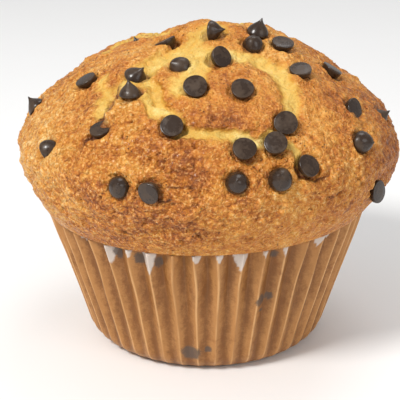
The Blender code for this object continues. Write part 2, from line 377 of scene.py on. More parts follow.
@dataclass(frozen=True)
class PaperFinish(Finish):
    """Greaseproof paper: tan where crumb lies against it, whitish where it stands off."""

    # The pale of the painted highlight along each ridge.
    ridge_highlight_colour: Colour = srgb(212, 164, 110)
    face_colour: Colour = srgb(176, 124, 70)
    valley_colour: Colour = srgb(126, 80, 38)
    bare_colour: Colour = srgb(210, 202, 194)
    smudge_colour: Colour = srgb(86, 74, 66)
    stain_colour: Colour = srgb(140, 86, 42)

    def dress(self, bench: Bench) -> dict[str, Wire]:
        """Colours by the distance from a ridge, by the streaks and by what lies behind, with a
        painted highlight along each ridge.
        """
        place = bench.place()
        fold = bench.attribute("fold")
        streaks = bench.grain(bench.place((1.0, 1.0, 0.16)), 1.1 * MM, 2.0)
        bands = bench.grain(bench.place((1.0, 1.0, 0.08)), 4.5 * MM, 2.0)
        mottle = bench.grain(place, 1.3 * MM, 3.0, 0.6)
        fibre = bench.grain(place, 0.4 * MM, 1.0)
        depth = fold * 0.8 + (bands - 0.5) * 1.1 + (streaks - 0.5) * 0.7
        depth = depth + (mottle - 0.5) * 0.7 + (fibre - 0.5) * 0.5
        sheet = depth.step(0.0, 0.95).blend(self.face_colour, self.valley_colour)
        # A pale line along each ridge: painted highlight.
        ridge_highlight = fold.step(0.14, 0.02) * bands.step(0.3, 0.6) * 0.8
        sheet = ridge_highlight.blend(sheet, self.ridge_highlight_colour)
        stain = mottle.step(0.52, 0.72) * bench.grain(place, 7 * MM).step(0.45, 0.6) * 0.45
        sheet = stain.blend(sheet, self.stain_colour)
        bare = bench.attribute("bare") + (mottle - 0.5) * 0.9
        sheet = (bare.step(0.3, 0.95) * 0.85).blend(sheet, self.bare_colour)
        smudge = bench.attribute("smudge") + (mottle - 0.5) * 0.9 + (fibre - 0.5) * 0.5
        sheet = (smudge.step(0.25, 0.95) * 0.85).blend(sheet, self.smudge_colour)
        relief = fibre * 0.4 + mottle * 0.6
        return {
            "Base Color": sheet,
            "Roughness": 0.46 + (mottle - 0.5) * 0.25,
            "Normal": bench.bump(relief, 0.08 * MM, 0.6),
        }


@dataclass(frozen=True)
class ChocolateFinish(Finish):
    """Dark chocolate with a satin skin, dulled in places by handling."""

    dark: Colour = srgb(47, 33, 23)
    dulled: Colour = srgb(64, 48, 34)

    def dress(self, bench: Bench) -> dict[str, Wire]:
        """A dull film that comes and goes over the dark, and a slightly uneven skin."""
        place = bench.place()
        film = bench.grain(place, 3.2 * MM, 2.0)
        rubbed = bench.grain(place, 0.6 * MM, 2.0)
        cover = (film + (rubbed - 0.5) * 0.5).step(0.42, 0.68)
        dents = bench.grain(place, 1.1 * MM, 2.0) * 0.7 + rubbed * 0.3
        return {
            "Base Color": cover.blend(self.dark, self.dulled),
            "Roughness": 0.24 + cover * 0.2,
            "Normal": bench.bump(dents, 0.12 * MM, 0.5),
        }


@dataclass(frozen=True)
class TableFinish(Finish):
    """The pale table."""

    colour: Colour = (0.9, 0.9, 0.9)

    def dress(self, bench: Bench) -> dict[str, Wire]:
        """A faint mottle."""
        mottle = bench.grain(bench.place(), 60 * MM)
        return {"Base Color": mottle.blend(self.colour, tuple(0.98 * c for c in self.colour))}


# ---------------------------------------------------------------- shapes


@dataclass(frozen=True)
class Swelling:
    """A broad lump or hollow of the crown: where, how wide in degrees and how high."""

    azimuth: float
    lean: float
    spread: float
    height: float

    def share(self, directions: np.ndarray) -> np.ndarray:
        """How much of it there is in each direction, from 0 to 1."""
        middle = rays(np.array(self.azimuth), np.array(self.lean))
        away = np.degrees(np.arccos(np.clip(directions @ middle, -1.0, 1.0)))
        return np.exp(-(away / self.spread) ** 2)


def swellings(unit: float, *rows: tuple[float, float, float, float]) -> tuple[Swelling, ...]:
    """Swellings from rows of azimuth, lean, spread and height in a unit."""
    return tuple(Swelling(*row[:3], row[3] * unit) for row in rows)


def heaped(lumps: Iterable[Swelling], directions: np.ndarray) -> np.ndarray:
    """How high all of some swellings stand together in each direction."""
    return sum(each.height * each.share(directions) for each in lumps)


@dataclass(frozen=True)
class CaseForm:
    """The outline of the paper case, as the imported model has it."""

    foot_radius: float = 25.2 * MM
    taper: float = 0.305
    corner: float = 5.5 * MM
    pleats: int = 46
    phase: float = -3.6
    depth: float = 2.0 * MM
    depth_start: float = 0.35
    rim: float = 31.0 * MM
    side_rise: float = 0.7 * MM
    front_drop: float = 0.7 * MM
    crumb_inset: float = 0.85 * MM

    def rim_height(self, azimuth: np.ndarray) -> np.ndarray:
        """Height at which crown and case meet."""
        out = facing(azimuth)
        return self.rim + self.side_rise * out[..., 0] + self.front_drop * out[..., 1]

    def wall_radius(self, height: np.ndarray) -> np.ndarray:
        """Radius of the ridges above the rounded corner."""
        return self.foot_radius + self.taper * height

    @property
    def corner_middle(self) -> float:
        """Radius of the centre of the rounded corner."""
        return self.foot_radius + self.corner * (self.taper - math.hypot(1.0, self.taper))

    def corner_points(self, inset: float, steps: int) -> list[tuple[float, float]]:
        """Radius and height along the rounded corner, from the base up to the wall."""
        low, high = -math.pi / 2, -math.atan(self.taper)
        radius = self.corner - inset
        angles = [low + (high - low) * step / steps for step in range(steps + 1)]
        return [(self.corner_middle + radius * math.cos(angle),
                 self.corner + radius * math.sin(angle)) for angle in angles]

    @property
    def corner_top(self) -> float:
        """Height at which the rounded corner meets the straight wall."""
        return self.corner_points(0.0, 1)[-1][1]

    def pleat_depth(self, height: np.ndarray) -> np.ndarray:
        """Ridge to valley: none at the base, full at the rim."""
        foot = self.depth * self.depth_start
        climb = (height - self.corner_top) / (self.rim - self.corner_top)
        wall = foot + (self.depth - foot) * climb
        return np.where(height < self.corner_top, foot * height / self.corner_top, wall)


@dataclass(frozen=True)
class CrownForm:
    """The crown's skin before its crust is roughened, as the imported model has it."""

    case: CaseForm = CaseForm()
    overhang: float = 0.5 * MM
    radius: float = 40.3 * MM
    waist: float = 43.6 * MM
    top: float = 68.4 * MM
    shift: tuple[float, float, float] = (0.8 * MM, -0.8 * MM, 0.0)
    fullness: float = 1.6
    drop_power: float = 2.4
    out_power: float = 1.14
    lumps: tuple[Swelling, ...] = swellings(
        MM,
        (-10, 6, 13, 1.2), (-62, 20, 12, -1.4), (-110, 36, 18, -0.6), (88, 27, 16, 1.2),
        (92, 56, 15, -1.0), (-88, 52, 14, 0.2), (-60, 68, 10, -0.9), (-50, 88, 18, 0.5),
        (40, 64, 22, 0.6), (-95, 84, 10, 0.6), (170, 70, 24, -0.8), (140, 92, 18, 0.6))

    def rim_lean(self, azimuth: np.ndarray) -> np.ndarray:
        """The lean at which the crown meets the case."""
        return 90.0 + np.degrees(np.arctan((self.waist - self.case.rim_height(azimuth))
                                           / self.radius))

    def skin(self, azimuth: np.ndarray, lean: np.ndarray) -> np.ndarray:
        """Places on the crown, as rows, by azimuth and lean."""
        rim = self.case.rim_height(azimuth)
        rim_radius = self.case.wall_radius(rim) + self.overhang
        across = np.sin(np.radians(lean))
        up = np.clip(np.cos(np.radians(lean)), 0.0, None)
        power = self.fullness
        reach = ((across / self.radius) ** power
                 + (up / (self.top - self.waist)) ** power) ** (-1.0 / power)
        below = np.tan(np.radians(np.clip(lean, 90.0, 130.0) - 90.0))
        drop = np.clip(self.radius * below / (self.waist - rim), 0.0, 1.0)
        bulge = (1.0 - drop ** self.drop_power) ** self.out_power
        upper = lean <= 90.0
        radius = np.where(upper, reach * across, rim_radius + (self.radius - rim_radius) * bulge)
        height = np.where(upper, self.waist + reach * up,
                          self.waist - drop * (self.waist - rim))
        risen = np.clip((height - rim) / (self.waist - rim), 0.0, 1.0)[..., None]
        directions = rays(azimuth, lean)
        swell = heaped(self.lumps, directions)
        place = ring(azimuth, radius, height)
        return place + risen * (np.array(self.shift) + directions * swell[..., None])

    def normal(self, azimuth: np.ndarray, lean: np.ndarray) -> np.ndarray:
        """Outward unit normals of the crown, as rows."""
        step = 0.5
        low = np.clip(lean, 2.0 * step, None)
        along = self.skin(azimuth + step, low) - self.skin(azimuth - step, low)
        up = self.skin(azimuth, low - step) - self.skin(azimuth, low + step)
        across = np.cross(along, up)
        return across / np.linalg.norm(across, axis=-1, keepdims=True)


class SeamKind(Enum):
    """What a line across the crown is."""

    TEAR = "tear"  # a band where yellow crumb shows
    SCARP = "scarp"  # a step: the crust on its left stands up
    CRACK = "crack"  # a thin dark slit


@dataclass(frozen=True)
class Seam:
    """A line across the crown.

    Attributes:
        kind: What it is.
        path: Azimuth and lean of the points that it runs through.
        width: Half the width of a tear or a slit, or how far a scarp's step reaches.
        height: How deep a tear or slit is, or how high a scarp is.
    """

    kind: SeamKind
    path: tuple[tuple[float, float], ...]
    width: float
    height: float

    def trace(self, crown: CrownForm, points: np.ndarray,
              normals: np.ndarray) -> tuple[np.ndarray, np.ndarray, np.ndarray]:
        """Measures places against the line.

        Args:
            crown: The form that the line lies on.
            points: Rows of places.
            normals: The outward normals there.

        Returns:
            The distance, with its sign positive to the line's left seen from outside,
            the distance without it, and the share of the line's length at the nearest point.
        """
        line = crown.skin(*resampled(self.path, 6 * len(self.path)))
        nearest = np.full(len(points), np.inf)
        side = np.zeros(len(points))
        share = np.zeros(len(points))
        for number, (start, end) in enumerate(zip(line, line[1:])):
            run = end - start
            along = np.clip((points - start) @ run / (run @ run), 0.0, 1.0)
            away = points - (start + along[:, None] * run)
            length = np.linalg.norm(away, axis=1)
            closer = length < nearest
            left = np.einsum("ij,ij->i", away, np.cross(normals, run))
            nearest = np.where(closer, length, nearest)
            side = np.where(closer, np.sign(left), side)
            share = np.where(closer, (number + along) / (len(line) - 1), share)
        return nearest * side, nearest, share


def front_seams() -> list[Seam]:
    """The tears, steps and slits that the front of the crown shows."""
    tear, scarp, crack = SeamKind.TEAR, SeamKind.SCARP, SeamKind.CRACK
    rows = (
        (tear, 3.9, 1.1, (10, 12), (-20, 14), (-30, 26), (-35, 39), (-40, 50), (-41, 58)),
        (tear, 3.6, 0.5, (-20, 25), (-12, 36), (-10, 46), (-14, 54)),
        (tear, 2.9, 0.9, (-10, 30), (10, 33), (28, 36), (38, 42), (39, 52), (34, 62), (29, 68)),
        (tear, 1.9, 1.3, (-36, 50), (-27, 57), (-20, 65), (-10, 70), (0, 72), (8, 73), (18, 75)),
        (tear, 1.9, 0.3, (-58, 58), (-48, 63), (-44, 68)),
        (tear, 1.5, 0.6, (14, 74), (22, 72), (27, 78), (27, 84)),
        (scarp, 5.0, 1.8, (-14, 67), (-20, 64), (-26, 60), (-32, 54)),
        (scarp, 2.5, -0.5, (-3, 50), (7, 45), (20, 41)),
        (scarp, 4.0, 2.4, (-53, 52), (-43, 57), (-40, 64), (-40, 71), (-40, 78)),
        (scarp, 3.5, -0.9, (-53, 83), (-45, 82), (-39, 80), (-33, 76)),
        (scarp, 4.0, -1.9, (-75, 16), (-58, 20), (-46, 29), (-44, 40)),
        (scarp, 2.0, 0.45, (22, 68), (30, 62), (33, 53), (32, 45)),
        (crack, 0.28, 0.5, (-14, 86), (-10, 86.5), (-6, 86), (-2, 87)),
        (crack, 0.35, 0.6, (-15, 90), (-12, 90.5), (-10, 90)),
        (crack, 0.3, 0.5, (-27, 102), (-22, 103)),
        (crack, 0.35, 0.6, (-20, 101), (-16, 102)),
        (crack, 0.35, 0.6, (24, 82), (26, 85), (30, 87), (34, 86)),
        (crack, 0.3, 0.3, (22, 89), (29, 91), (36, 90)),
        (crack, 0.9, 1.0, (-42, 80), (-40, 76), (-40, 71), (-40, 64), (-43, 58)),
    )
    return [Seam(kind, tuple(path), width * MM, height * MM)
            for kind, width, height, *path in rows]


def back_seams(seed: int) -> list[Seam]:
    """Seams of the same kinds strewn over the back of the crown.

    Args:
        seed: Starts the draw.

    Returns:
        Tears that run down from the top, a step beside each, and short slits.
    """
    draw = random.Random(seed)
    seams = []
    for azimuth, lean, drift in ((100.0, 12.0, 17.0), (172.0, 30.0, 26.0), (258.0, 26.0, -22.0)):
        turn, path = azimuth, []
        for _ in range(6):
            path.append((turn, lean))
            turn += drift * draw.uniform(-0.1, 1.5)
            lean += draw.uniform(1.0, 10.0)
        seams.append(Seam(SeamKind.TEAR, tuple(path), draw.uniform(1.2, 3.0) * MM, 0.6 * MM))
        beside = tuple((turn + 5.0, lean) for turn, lean in path[1:])
        seams.append(Seam(SeamKind.SCARP, beside, 4.0 * MM, draw.choice((-1.1, 1.1)) * MM))
    for _ in range(12):
        azimuth, lean = draw.uniform(75.0, 285.0), draw.uniform(72.0, 101.0)
        path = ((azimuth, lean), (azimuth + draw.uniform(3.0, 7.0), lean + draw.uniform(-1, 1)))
        seams.append(Seam(SeamKind.CRACK, path, draw.uniform(0.25, 0.4) * MM, 0.5 * MM))
    return seams


# ---------------------------------------------------------------- meshes


def ring_mesh(name: str, rings: np.ndarray, top: np.ndarray) -> Mesh:
    """Joins rings of points, bottom to top, closed below by a flat face and above at a point.

    Args:
        name: The mesh's name.
        rings: Places, by ring and then by their turn round it.
        top: The place that closes the last ring.

    Returns:
        The mesh, its faces pointing out.
    """
    rows, around = rings.shape[:2]
    index = np.arange(rows * around).reshape(rows, around)
    ahead = np.roll(index, -1, axis=1)
    quads = np.stack([index[:-1], ahead[:-1], ahead[1:], index[1:]], axis=-1).reshape(-1, 4)
    peak = rows * around
    fan = [(index[-1, i], ahead[-1, i], peak) for i in range(around)]
    faces = [tuple(quad) for quad in quads.tolist()] + fan + [tuple(index[0, ::-1].tolist())]
    mesh = bpy.data.meshes.new(name)
    mesh.from_pydata(np.vstack([rings.reshape(-1, 3), top]).tolist(), [], faces)
    mesh.shade_smooth()
    return mesh


def keep_numbers(mesh: Mesh, name: str, values: np.ndarray) -> None:
    """Keeps one number for each point of a mesh."""
    mesh.attributes.new(name, "FLOAT", "POINT").data.foreach_set(
        "value", np.asarray(values, np.float32))


def places(mesh: Mesh) -> np.ndarray:
    """The points of a mesh, as rows."""
    flat = np.empty(3 * len(mesh.vertices), np.float32)
    mesh.vertices.foreach_get("co", flat)
    return flat.reshape(-1, 3).astype(float)


def kept_numbers(mesh: Mesh, name: str) -> np.ndarray:
    """The numbers that a mesh keeps for its points under a name."""
    values = np.empty(len(mesh.vertices), np.float32)
    mesh.attributes[name].data.foreach_get("value", values)
    return values


def azimuths(points: np.ndarray) -> np.ndarray:
    """The azimuths of places, in degrees."""
    return np.degrees(np.arctan2(points[:, 0], -points[:, 1]))


def shown(name: str, mesh: Mesh, finish: Material | None = None) -> Object:
    """Puts a mesh in the scene as an object, with one finish if one is given."""
    if finish:
        mesh.materials.clear()
        mesh.materials.append(finish)
    piece = bpy.data.objects.new(name, mesh)
    bpy.context.scene.collection.objects.link(piece)
    return piece


def baked(piece: Object) -> Mesh:
    """The plain mesh that a piece's modifiers make."""
    seen = piece.evaluated_get(bpy.context.evaluated_depsgraph_get())
    return bpy.data.meshes.new_from_object(seen)


def settle(piece: Object, slot: str, *nodes: str) -> None:
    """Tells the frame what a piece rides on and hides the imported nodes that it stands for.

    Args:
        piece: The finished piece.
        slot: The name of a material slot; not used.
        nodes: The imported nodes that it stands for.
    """
    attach(piece, BODY)
    if nodes:
        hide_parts(*nodes)
    mesh = piece.data
    mesh.calc_loop_triangles()
    LOG.info("%s: %d triangles, stands for %d nodes", piece.name,
             len(mesh.loop_triangles), len(nodes))


class GeometryTree:
    """A Geometry Nodes tree with named inputs that is run once on a host mesh."""

    socket_kinds = {int: "NodeSocketInt", float: "NodeSocketFloat", Object: "NodeSocketObject"}

    def __init__(self, name: str, inputs: dict[str, "int | float | Object"]) -> None:
        """Makes the tree and its sockets.

        Args:
            name: The tree's name.
            inputs: The named inputs' values, whose types say what sockets they need.
        """
        self.tree = bpy.data.node_groups.new(name, "GeometryNodeTree")
        self.bench = Bench(self.tree)
        face = self.tree.interface
        face.new_socket("Geometry", in_out="INPUT", socket_type="NodeSocketGeometry")
        face.new_socket("Geometry", in_out="OUTPUT", socket_type="NodeSocketGeometry")
        self.values = {}
        for label, value in inputs.items():
            kind = self.socket_kinds[type(value)]
            socket = face.new_socket(label, in_out="INPUT", socket_type=kind)
            self.values[socket.identifier] = value
        self.start = self.bench.node("NodeGroupInput")

    def given(self, label: str) -> Wire:
        """One of the tree's named inputs."""
        return self.start.other(label)

    def shape(self, label: str) -> Wire:
        """The geometry of the object that a named input gives."""
        return self.bench.node("GeometryNodeObjectInfo", None, {"Object": self.given(label)},
                               "Geometry")

    def strewn(self, points: Wire, shape: Wire, turn: Wire, scale: "Wire | Colour") -> Wire:
        """A shape set at points, turned by Euler angles and scaled."""
        rotation = self.bench.node("FunctionNodeEulerToRotation", None, {0: turn})
        return self.bench.node("GeometryNodeInstanceOnPoints", None, {
            "Points": points, "Instance": shape, "Rotation": rotation, "Scale": scale})

    def finish(self, geometry: Wire, finish: Material) -> None:
        """Ends the tree: realizes instances, sets the material and gives the result."""
        whole = self.bench.node("GeometryNodeRealizeInstances", None, {"Geometry": geometry})
        dressed = self.bench.node("GeometryNodeSetMaterial", None,
                                  {"Geometry": whole, "Material": finish})
        self.bench.node("NodeGroupOutput", None, {"Geometry": dressed})

    def run(self, host: Mesh) -> Mesh:
        """Runs the tree on a mesh and returns the plain result."""
        carrier = shown("carrier", host)
        modifier = carrier.modifiers.new("tree", "NODES")
        modifier.node_group = self.tree
        for identifier, value in self.values.items():
            modifier[identifier] = value
        made = baked(carrier)
        bpy.data.objects.remove(carrier, do_unlink=True)
        return made


# ---------------------------------------------------------------- sub-assemblies


@dataclass(frozen=True)
class Drop:
    """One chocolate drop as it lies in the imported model."""

    node: str
    base: np.ndarray
    axis: np.ndarray
    radius: float

    @classmethod
    def from_node(cls, name: str) -> "Drop":
        """Reads a drop from its node: its flat base is its largest flat side.

        Args:
            name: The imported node.

        Returns:
            The drop, with its axis pointing from base to tip.
        """
        weld, bins = 1e-6, 20
        bm = bmesh.new()
        bm.from_mesh(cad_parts[name].data)
        bmesh.ops.remove_doubles(bm, verts=bm.verts, dist=weld)
        bm.normal_update()
        sides: dict[tuple[int, ...], list[bmesh.types.BMFace]] = {}
        for face in bm.faces:
            key = tuple(round(value * bins) for value in face.normal)
            sides.setdefault(key, []).append(face)
        base = max(sides.values(), key=lambda faces: sum(face.calc_area() for face in faces))
        corners = dict.fromkeys(vert for face in base for vert in face.verts)
        centre = sum((vert.co for vert in corners), Vector()) / len(corners)
        radius = max((vert.co - centre).length for vert in corners)
        axis = -base[0].normal.normalized()
        found = cls(name, np.array(centre), np.array(axis), radius)
        bm.free()
        return found


@dataclass
class Muffin:
    """Crumb and crown in one skin, with the crust's tears, steps, slits and grain."""

    crown: CrownForm = field(default_factory=CrownForm)
    around: int = 456
    crown_rows: int = 204
    wall_rows: int = 3
    seam_seed: int = 5
    lumps: tuple[float, float] = (8.0 * MM, 0.6 * MM)
    knobs: tuple[float, float] = (3.2 * MM, 0.42 * MM)
    pebbles: tuple[float, float] = (1.7 * MM, 0.42 * MM)
    grit: tuple[float, float] = (0.9 * MM, 0.16 * MM)
    pits: tuple[float, float] = (2.0 * MM, 0.6 * MM)
    torn_lumps: tuple[float, float] = (2.4 * MM, 0.5 * MM)
    settling: float = 0.35 * MM
    step_reach: float = 0.35 * MM
    plain_toast: float = 0.46
    plain_coarseness: float = 0.25
    pit_share: float = 0.65
    pit_radius: float = 0.34
    socket_depth: float = 0.45 * MM
    lip_height: float = 0.28 * MM
    coarsest: tuple[Swelling, ...] = swellings(
        1.0,
        (-70, 62, 22, 0.7), (-60, 84, 24, 0.9), (-30, 78, 18, 0.6), (-20, 98, 26, 0.6),
        (15, 96, 26, 0.4), (60, 88, 24, 0.3), (40, 84, 8, 0.5), (130, 80, 30, 0.6),
        (200, 70, 34, 0.6), (250, 80, 26, 0.7))
    toasted: tuple[Swelling, ...] = swellings(
        1.0,
        (6, 67, 12, 0.20), (28, 56, 9, 0.06), (-8, 80, 10, 0.16), (-8, 96, 22, 0.12),
        (-24, 94, 10, 0.12), (-50, 50, 8, 0.10), (-66, 76, 16, -0.16), (-50, 88, 12, -0.10),
        (-66, 92, 14, -0.18), (62, 76, 22, 0.10), (78, 92, 18, 0.22), (-40, 78, 4, 0.25),
        (60, 40, 14, -0.06), (130, 60, 24, 0.12), (200, 80, 26, 0.08), (180, 40, 16, 0.14))
    lightest: tuple[Swelling, ...] = swellings(
        1.0,
        (22, 33, 8, 0.8), (-30, 34, 8, 0.5), (-12, 45, 7, 0.6), (-16, 66, 5, 0.5),
        (14, 74, 6, 0.7), (38, 52, 6, 0.3), (160, 40, 14, 0.5))

    def hidden_rings(self, turns: np.ndarray) -> list[np.ndarray]:
        """Rings of the crumb inside the case, base first."""
        case = self.crown.case
        rings = []
        for radius, height in case.corner_points(case.crumb_inset, 3):
            rings.append(ring(turns, radius - case.pleat_depth(np.array(height)), height))
        for row in range(1, self.wall_rows + 1):
            height = case.corner_top + (case.rim_height(turns) - case.corner_top) * (
                row / self.wall_rows)
            inner = case.wall_radius(height) - case.crumb_inset - case.pleat_depth(height)
            rings.append(ring(turns, inner, height))
        return rings

    def build(self, drops: Sequence[Drop], finish: Material) -> Object:
        """Makes the muffin.

        Args:
            drops: The drops that press into the crust.
            finish: The crust's material.

        Returns:
            The finished piece.
        """
        turns = whole_turn(self.around)
        share = np.linspace(1.0, 1.0 / self.crown_rows, self.crown_rows)
        lean = share[:, None] * self.crown.rim_lean(turns)[None, :]
        azimuth = np.broadcast_to(turns, lean.shape)
        form = self.crown.skin(azimuth, lean).reshape(-1, 3)
        normals = self.crown.normal(azimuth, lean).reshape(-1, 3)
        free = smooth(1.0 - np.repeat(share, self.around), 0.0, 0.05)
        relief, marks = self.crust(form, normals, drops)
        crust = form + normals * (relief * free)[:, None]
        hidden = self.hidden_rings(turns)
        rings = np.concatenate([np.stack(hidden), crust.reshape(*lean.shape, 3)])
        top = rings[-1].mean(axis=0)
        mesh = ring_mesh("muffin_crust", rings, top[None, :])
        before = len(hidden) * self.around
        for name, values in marks.items():
            keep_numbers(mesh, name, np.concatenate([
                np.zeros(before), values, [values[-self.around:].mean()]]))
        piece = shown("muffin_crust", mesh, finish)
        settle(piece, "baked_crumb", "muffin")
        return piece

    def crust(self, form: np.ndarray, normals: np.ndarray,
              drops: Sequence[Drop]) -> tuple[np.ndarray, dict[str, np.ndarray]]:
        """Works out the crust's relief and marks.

        Args:
            form: Places on the smooth crown.
            normals: The outward normals there.
            drops: The drops that press into it.

        Returns:
            How far each place stands out, and the numbers that the finish reads.
        """
        directions = form - UP * self.crown.waist
        directions /= np.linalg.norm(directions, axis=1, keepdims=True)
        coarse = self.plain_coarseness + heaped(self.coarsest, directions)
        coarse = np.clip(coarse + 0.3 * sampled(form, 9 * MM, fractal(2)), 0.0, 1.0)
        torn, steps, slits = self.seams(form, normals)
        soft = (1.0 - 0.75 * torn) * (0.45 + 0.75 * coarse)
        relief = self.lumps[1] * sampled(form, self.lumps[0], fractal(2))
        relief += self.knobs[1] * sampled(form, self.knobs[0], fractal(3)) * (1 - 0.35 * torn)
        relief += self.torn_lumps[1] * sampled(form, self.torn_lumps[0], fractal(3)) * torn
        pebble = sampled(form, self.pebbles[0], lambda p: noise.voronoi(p)[0][0])
        relief += self.pebbles[1] * (0.45 - pebble) * soft
        relief += self.grit[1] * sampled(form, self.grit[0], fractal(2)) * soft
        pits = self.pitting(form) * soft
        relief += steps - self.pits[1] * pits - slits - self.settling
        dents, lips = self.sockets(form, drops)
        relief += lips - dents
        # How deep each place lies in a pit, slit or drop dent; the finish paints shade there.
        hollow = np.clip(0.55 * pits + 1.3 * slits / (0.6 * MM) + dents / (0.8 * MM), 0.0, 1.0)
        toast = self.plain_toast + heaped(self.toasted, directions)
        toast += 0.16 * sampled(form, 11 * MM, fractal(2))
        # Darker where the pebbles leave the relief low: painted shade between them.
        toast += 0.3 * np.clip(pebble - 0.45, -0.3, 0.3)
        toast -= 0.35 * smooth(steps, 0.45 * MM, 1.1 * MM)
        light = heaped(self.lightest, directions)
        return relief, {"torn": torn, "toast": toast, "hollow": hollow, "light": light,
                        "coarse": coarse}

    def seams(self, form: np.ndarray,
              normals: np.ndarray) -> tuple[np.ndarray, np.ndarray, np.ndarray]:
        """Draws every seam of the crown.

        Returns:
            How torn each place is, the height of the steps, and the depth of the slits.
        """
        ragged = wandered(wandered(form, 5 * MM, 1.5 * MM), 1.4 * MM, 0.35 * MM)
        fine = wandered(form, 1.6 * MM, 0.5 * MM)
        torn, steps, slits = np.zeros(len(form)), np.zeros(len(form)), np.zeros(len(form))
        for seam in [*front_seams(), *back_seams(self.seam_seed)]:
            place = fine if seam.kind is SeamKind.CRACK else ragged
            signed, away, along = seam.trace(self.crown, place, normals)
            ends = np.sqrt(np.clip(np.sin(math.pi * np.clip(along, 0.03, 0.97)), 0.0, 1.0))
            if seam.kind is SeamKind.TEAR:
                band = smooth(away, 1.5 * seam.width, 0.3 * seam.width)
                torn = np.maximum(torn, band)
                steps -= seam.height * band * ends
            elif seam.kind is SeamKind.SCARP:
                left = np.tanh(signed / self.step_reach)
                steps += 0.5 * seam.height * left * np.exp(-away / seam.width) * ends
            else:
                slit = seam.height * np.exp(-(away / seam.width) ** 2) * ends
                slits = np.maximum(slits, slit)
        return torn, steps, slits

    def pitting(self, form: np.ndarray) -> np.ndarray:
        """Small burst bubbles, some cells in a scatter having one, from 0 to 1."""
        def pit(place: Vector) -> float:
            away, cells = noise.voronoi(place)
            chosen = noise.cell(cells[0] * 7.3) > 1.0 - self.pit_share
            return max(0.0, 1.0 - away[0] / self.pit_radius) if chosen else 0.0
        return smooth(sampled(form, self.pits[0], pit), 0.0, 0.8)

    def sockets(self, form: np.ndarray, drops: Sequence[Drop]) -> tuple[np.ndarray, np.ndarray]:
        """The dent that each drop sits in, and the lip of crumb round it."""
        dents, lips = np.zeros(len(form)), np.zeros(len(form))
        ragged = wandered(form, 1.5 * MM, 0.3 * MM)
        for drop in drops:
            offset = ragged - (drop.base + drop.axis * 0.35 * drop.radius)
            away = np.linalg.norm(offset, axis=1) / drop.radius
            dents = np.maximum(dents, self.socket_depth * smooth(away, 1.25, 0.9))
            lips = np.maximum(lips, self.lip_height * np.exp(-((away - 1.4) / 0.16) ** 2))
        return dents, lips


